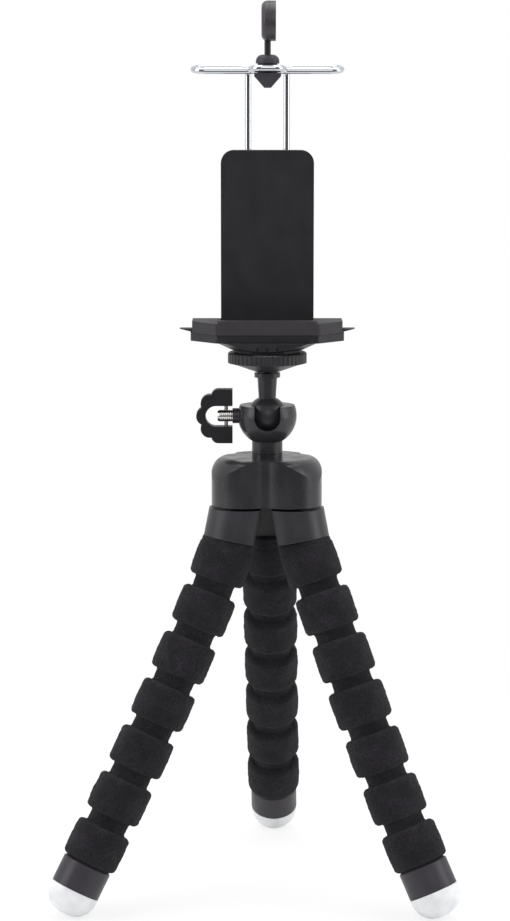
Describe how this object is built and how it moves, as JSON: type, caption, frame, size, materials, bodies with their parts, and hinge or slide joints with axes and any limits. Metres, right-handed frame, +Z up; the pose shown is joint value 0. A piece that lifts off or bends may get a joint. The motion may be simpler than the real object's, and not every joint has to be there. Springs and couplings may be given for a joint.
{
  "type": "phone tripod",
  "caption": "Small table tripod with bendable foam-sleeved legs, a ball head with a wing screw, and a sprung wire phone clip with a mirror.",
  "frame": {"origin": "on the floor the three feet stand on, under the centre of the hub", "axes": "+Z up along the head's axis, -Y towards the front where the clip's shelf has its lip, +X to the right of someone facing that front"},
  "size_m": [0.1276, 0.1129, 0.2807],
  "materials": {
    "hub_plastic": "dark grey moulded plastic with a soft sheen",
    "head_plastic": "dark grey moulded plastic with a soft sheen",
    "cuff_plastic": "dark grey satin moulded plastic",
    "knob_plastic": "near-black satin plastic",
    "disc_plastic": "dark grey satin plastic, finely ribbed",
    "clip_plastic": "dark grey satin plastic",
    "inner_plastic": "plain moulded plastic",
    "mirror_plastic": "dark grey satin plastic",
    "cap_plastic": "dark grey satin plastic",
    "foam": "open-celled black foam rubber, fuzzy",
    "shelf_rubber": "grey-brown rubber with a grained band",
    "rubber_pad": "smooth black rubber",
    "plug_rubber": "smooth dark grey rubber",
    "foot_rubber": "light grey rubber, slightly glossy",
    "bow_chrome": "bright plated wire",
    "bright_steel": "bright plated thread",
    "steel": "plain steel",
    "brass": "turned brass",
    "mirror_face": "small round mirror glass"
  },
  "bodies": {
    "hub": {"hub": "hub_plastic", "hub_bolt": "steel", "hinge_pins": "steel"},
    "socket": {"ball_socket": "head_plastic", "clamp_shoe": "brass"},
    "screw": {"clamp_screw": "bright_steel", "knob_pin": "steel"},
    "wing": {"wing_knob": "knob_plastic"},
    "ball": {"ball_stud": "head_plastic", "camera_screw": "steel"},
    "disc": {"lock_disc": "disc_plastic", "disc_pad": "rubber_pad"},
    "clip": {"clip_base": "clip_plastic", "back_cover": "clip_plastic", "cover_screws": "steel", "thread_insert": "brass", "shelf_pad": "shelf_rubber", "clip_springs": "steel"},
    "bow": {"bow_wire": "bow_chrome", "slide_block": "inner_plastic", "hook_plug": "plug_rubber"},
    "mirror": {"mirror_post": "steel", "mirror_shell": "mirror_plastic", "mirror_glass": "mirror_face"},
    "left_cuff": {"left_cuff": "cuff_plastic", "left_core_wire": "steel", "left_foam_tube": "foam"},
    "left_bead_1": {"left_bead_1": "foam"},
    "left_bead_2": {"left_bead_2": "foam"},
    "left_bead_3": {"left_bead_3": "foam"},
    "left_bead_4": {"left_bead_4": "foam"},
    "left_bead_5": {"left_bead_5": "foam"},
    "left_bead_6": {"left_bead_6": "foam"},
    "left_bead_7": {"left_bead_7": "foam", "left_end_cap": "cap_plastic", "left_foot": "foot_rubber"},
    "right_cuff": {"right_cuff": "cuff_plastic", "right_core_wire": "steel", "right_foam_tube": "foam"},
    "right_bead_1": {"right_bead_1": "foam"},
    "right_bead_2": {"right_bead_2": "foam"},
    "right_bead_3": {"right_bead_3": "foam"},
    "right_bead_4": {"right_bead_4": "foam"},
    "right_bead_5": {"right_bead_5": "foam"},
    "right_bead_6": {"right_bead_6": "foam"},
    "right_bead_7": {"right_bead_7": "foam", "right_end_cap": "cap_plastic", "right_foot": "foot_rubber"},
    "rear_cuff": {"rear_cuff": "cuff_plastic", "rear_core_wire": "steel", "rear_foam_tube": "foam"},
    "rear_bead_1": {"rear_bead_1": "foam"},
    "rear_bead_2": {"rear_bead_2": "foam"},
    "rear_bead_3": {"rear_bead_3": "foam"},
    "rear_bead_4": {"rear_bead_4": "foam"},
    "rear_bead_5": {"rear_bead_5": "foam"},
    "rear_bead_6": {"rear_bead_6": "foam"},
    "rear_bead_7": {"rear_bead_7": "foam", "rear_end_cap": "cap_plastic", "rear_foot": "foot_rubber"}
  },
  "joints": [
    {"name": "head_pan", "type": "hinge", "parent": "hub", "child": "socket", "pos_m": [0, 0, 0.1408], "axis": [0, 0, 1], "continuous": true},
    {"name": "clamp_turn", "type": "hinge", "parent": "socket", "child": "screw", "pos_m": [-0.01, 0, 0.1526], "axis": [1, 0, 0], "continuous": true},
    {"name": "wing_fold", "type": "hinge", "parent": "screw", "child": "wing", "pos_m": [-0.0129, 0, 0.1526], "axis": [0, 0, 1], "range_deg": [-90, 90]},
    {"name": "head_tilt", "type": "hinge", "parent": "socket", "child": "ball", "pos_m": [0, 0, 0.1526], "axis": [1, 0, 0], "range_deg": [-28, 90]},
    {"name": "disc_turn", "type": "hinge", "parent": "ball", "child": "disc", "pos_m": [0, 0, 0.17], "axis": [0, 0, 1], "continuous": true},
    {"name": "clip_turn", "type": "hinge", "parent": "ball", "child": "clip", "pos_m": [0, 0, 0.175], "axis": [0, 0, 1], "continuous": true},
    {"name": "bow_slide", "type": "slide", "parent": "clip", "child": "bow", "axis": [0, 0, 1], "range_m": [-0.022, 0.008], "stiffness_N_per_m": 120, "deforming": ["clip_springs"]},
    {"name": "mirror_turn", "type": "hinge", "parent": "bow", "child": "mirror", "pos_m": [0, -0.00635, 0.265], "axis": [0, 0, 1], "continuous": true},
    {"name": "left_leg_hinge", "type": "hinge", "parent": "hub", "child": "left_cuff", "pos_m": [-0.00577, -0.003, 0.1295], "axis": [-0.4617, 0.887, 0], "range_deg": [-12.5, 3]},
    {"name": "left_bend_1", "type": "hinge", "parent": "left_cuff", "child": "left_bead_1", "pos_m": [-0.01204, -0.00627, 0.1133], "axis": [0.4617, -0.887, 0], "range_deg": [-3.36, 22.64], "deforming": ["left_foam_tube", "left_core_wire"]},
    {"name": "left_bend_2", "type": "hinge", "parent": "left_bead_1", "child": "left_bead_2", "pos_m": [-0.01698, -0.00884, 0.09963], "axis": [-0.4617, 0.887, 0], "range_deg": [-23.06, 16.94], "deforming": ["left_foam_tube", "left_core_wire"]},
    {"name": "left_bend_3", "type": "hinge", "parent": "left_bead_2", "child": "left_bead_3", "pos_m": [-0.02303, -0.01199, 0.08513], "axis": [0.4617, -0.887, 0], "range_deg": [-18.73, 21.27], "deforming": ["left_foam_tube", "left_core_wire"]},
    {"name": "left_bend_4", "type": "hinge", "parent": "left_bead_3", "child": "left_bead_4", "pos_m": [-0.02936, -0.01528, 0.07079], "axis": [-0.4617, 0.887, 0], "range_deg": [-20.97, 19.03], "deforming": ["left_foam_tube", "left_core_wire"]},
    {"name": "left_bend_5", "type": "hinge", "parent": "left_bead_4", "child": "left_bead_5", "pos_m": [-0.03591, -0.01869, 0.05657], "axis": [0.4617, -0.887, 0], "range_deg": [-19.18, 20.82], "deforming": ["left_foam_tube", "left_core_wire"]},
    {"name": "left_bend_6", "type": "hinge", "parent": "left_bead_5", "child": "left_bead_6", "pos_m": [-0.04264, -0.0222, 0.04247], "axis": [-0.4617, 0.887, 0], "range_deg": [-20.72, 19.28], "deforming": ["left_foam_tube", "left_core_wire"]},
    {"name": "left_bend_7", "type": "hinge", "parent": "left_bead_6", "child": "left_bead_7", "pos_m": [-0.04953, -0.02578, 0.02845], "axis": [0.4617, -0.887, 0], "range_deg": [-19.35, 20.65], "deforming": ["left_foam_tube", "left_core_wire"]},
    {"name": "right_leg_hinge", "type": "hinge", "parent": "hub", "child": "right_cuff", "pos_m": [0.00548, -0.00349, 0.1295], "axis": [-0.5373, -0.8434, 0], "range_deg": [-12.5, 3]},
    {"name": "right_bend_1", "type": "hinge", "parent": "right_cuff", "child": "right_bead_1", "pos_m": [0.01145, -0.00729, 0.1133], "axis": [0.5373, 0.8434, 0], "range_deg": [-2.64, 23.36], "deforming": ["right_foam_tube", "right_core_wire"]},
    {"name": "right_bend_2", "type": "hinge", "parent": "right_bead_1", "child": "right_bead_2", "pos_m": [0.01621, -0.01033, 0.09991], "axis": [-0.5373, -0.8434, 0], "range_deg": [-20, 20], "deforming": ["right_foam_tube", "right_core_wire"]},
    {"name": "right_bend_3", "type": "hinge", "parent": "right_bead_2", "child": "right_bead_3", "pos_m": [0.02131, -0.01358, 0.08557], "axis": [0.5373, 0.8434, 0], "range_deg": [-19.94, 20.06], "deforming": ["right_foam_tube", "right_core_wire"]},
    {"name": "right_bend_4", "type": "hinge", "parent": "right_bead_3", "child": "right_bead_4", "pos_m": [0.02642, -0.01683, 0.07124], "axis": [-0.5373, -0.8434, 0], "range_deg": [-20.24, 19.76], "deforming": ["right_foam_tube", "right_core_wire"]},
    {"name": "right_bend_5", "type": "hinge", "parent": "right_bead_4", "child": "right_bead_5", "pos_m": [0.03158, -0.02012, 0.05693], "axis": [0.5373, 0.8434, 0], "range_deg": [-19.35, 20.65], "deforming": ["right_foam_tube", "right_core_wire"]},
    {"name": "right_bend_6", "type": "hinge", "parent": "right_bead_5", "child": "right_bead_6", "pos_m": [0.03688, -0.0235, 0.0427], "axis": [-0.5373, -0.8434, 0], "range_deg": [-21.37, 18.63], "deforming": ["right_foam_tube", "right_core_wire"]},
    {"name": "right_bend_7", "type": "hinge", "parent": "right_bead_6", "child": "right_bead_7", "pos_m": [0.04246, -0.02705, 0.02862], "axis": [0.5373, 0.8434, 0], "range_deg": [-17.51, 22.49], "deforming": ["right_foam_tube", "right_core_wire"]},
    {"name": "rear_leg_hinge", "type": "hinge", "parent": "hub", "child": "rear_cuff", "pos_m": [0.00028, 0.00649, 0.1295], "axis": [0.999, -0.0436, 0], "range_deg": [-12.5, 3]},
    {"name": "rear_bend_1", "type": "hinge", "parent": "rear_cuff", "child": "rear_bead_1", "pos_m": [0.00059, 0.01356, 0.1133], "axis": [-0.999, 0.0436, 0], "range_deg": [-0.11, 25.89], "deforming": ["rear_foam_tube", "rear_core_wire"]},
    {"name": "rear_bend_2", "type": "hinge", "parent": "rear_bead_1", "child": "rear_bead_2", "pos_m": [0.00087, 0.01983, 0.10008], "axis": [0.999, -0.0436, 0], "range_deg": [-20, 20], "deforming": ["rear_foam_tube", "rear_core_wire"]},
    {"name": "rear_bend_3", "type": "hinge", "parent": "rear_bead_2", "child": "rear_bead_3", "pos_m": [0.00116, 0.02657, 0.08586], "axis": [-0.999, 0.0436, 0], "range_deg": [-19.99, 20.01], "deforming": ["rear_foam_tube", "rear_core_wire"]},
    {"name": "rear_bend_4", "type": "hinge", "parent": "rear_bead_3", "child": "rear_bead_4", "pos_m": [0.00145, 0.03332, 0.07163], "axis": [0.999, -0.0436, 0], "range_deg": [-20.03, 19.97], "deforming": ["rear_foam_tube", "rear_core_wire"]},
    {"name": "rear_bend_5", "type": "hinge", "parent": "rear_bead_4", "child": "rear_bead_5", "pos_m": [0.00175, 0.04007, 0.0574], "axis": [-0.999, 0.0436, 0], "range_deg": [-19.92, 20.08], "deforming": ["rear_foam_tube", "rear_core_wire"]},
    {"name": "rear_bend_6", "type": "hinge", "parent": "rear_bead_5", "child": "rear_bead_6", "pos_m": [0.00204, 0.04685, 0.04319], "axis": [0.999, -0.0436, 0], "range_deg": [-20.17, 19.83], "deforming": ["rear_foam_tube", "rear_core_wire"]},
    {"name": "rear_bend_7", "type": "hinge", "parent": "rear_bead_6", "child": "rear_bead_7", "pos_m": [0.00234, 0.05367, 0.02899], "axis": [-0.999, 0.0436, 0], "range_deg": [-19.69, 20.31], "deforming": ["rear_foam_tube", "rear_core_wire"]}
  ]
}
